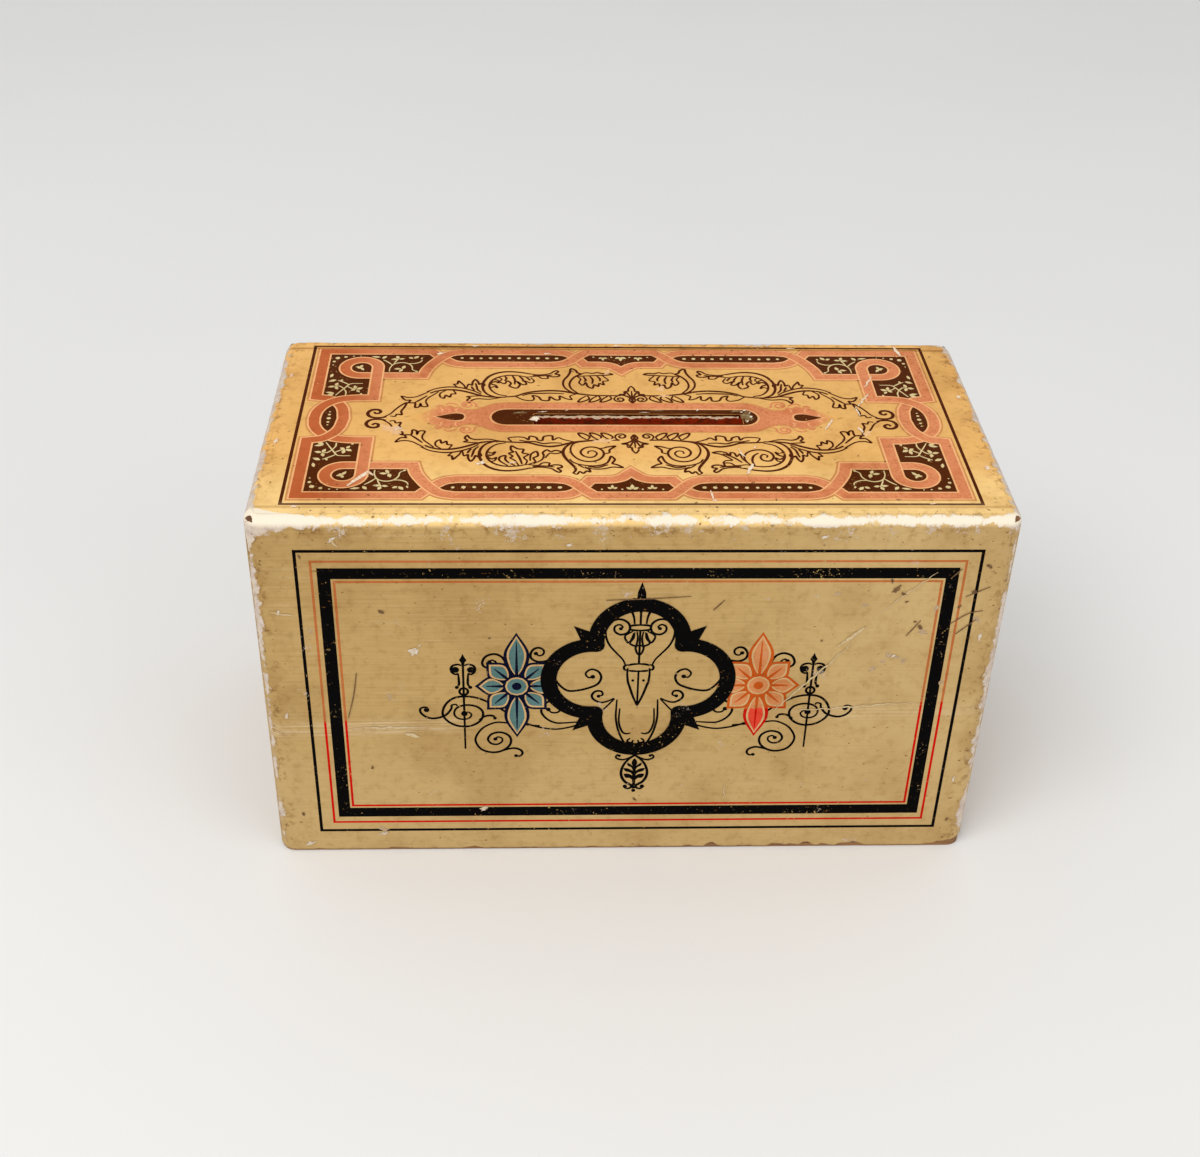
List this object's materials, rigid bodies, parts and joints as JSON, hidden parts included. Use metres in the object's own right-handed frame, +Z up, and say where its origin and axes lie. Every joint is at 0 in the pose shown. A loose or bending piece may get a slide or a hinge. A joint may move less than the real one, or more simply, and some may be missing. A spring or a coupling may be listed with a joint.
{
  "type": "offering box",
  "caption": "Paper-covered wooden offering box with worn rounded edges, a coin slot in its fixed top, and a hinged emptying door held by a turn button in its recessed base.",
  "frame": {"origin": "middle of the footprint, on the surface that the box stands on", "axes": "+X along the front to the right, +Y from the front to the back, +Z up"},
  "size_m": [0.165, 0.0816, 0.095],
  "materials": {
    "case_wood": "bare aged softwood",
    "base_wood": "bare aged softwood",
    "brass": "dull, tarnished",
    "steel": "dark drawn wire",
    "body_paper": "printed, varnished and worn",
    "top_paper": "printed, varnished and worn"
  },
  "bodies": {
    "case": {"front_board": "case_wood", "back_board": "case_wood", "left_end_board": "case_wood", "right_end_board": "case_wood", "top_board": "case_wood", "base_board": "base_wood", "door_stop": "base_wood", "hinge_base_leaf_left": "brass", "hinge_base_leaf_right": "brass", "hinge_pin_left": "steel", "hinge_pin_right": "steel", "hinge_base_screws": "brass", "turn_button_washer": "brass", "turn_button_screw": "brass", "corner_pins": "steel", "top_edge_pins": "steel", "top_end_pins": "steel", "base_edge_pins": "steel", "door_stop_brads": "steel", "body_paper": "body_paper", "top_paper": "top_paper"},
    "door": {"base_door": "base_wood", "hinge_door_leaf_left": "brass", "hinge_door_leaf_right": "brass", "hinge_door_screws": "brass"},
    "button": {"turn_button": "brass"}
  },
  "joints": [
    {"name": "door_hinge", "type": "hinge", "parent": "case", "child": "door", "pos_m": [0, 0.02245, 0.0025], "axis": [1, 0, 0], "range_deg": [0, 170]},
    {"name": "button_turn", "type": "hinge", "parent": "case", "child": "button", "pos_m": [0, -0.02885, 0.003], "axis": [0, 0, 1], "range_deg": [0, 180]}
  ]
}
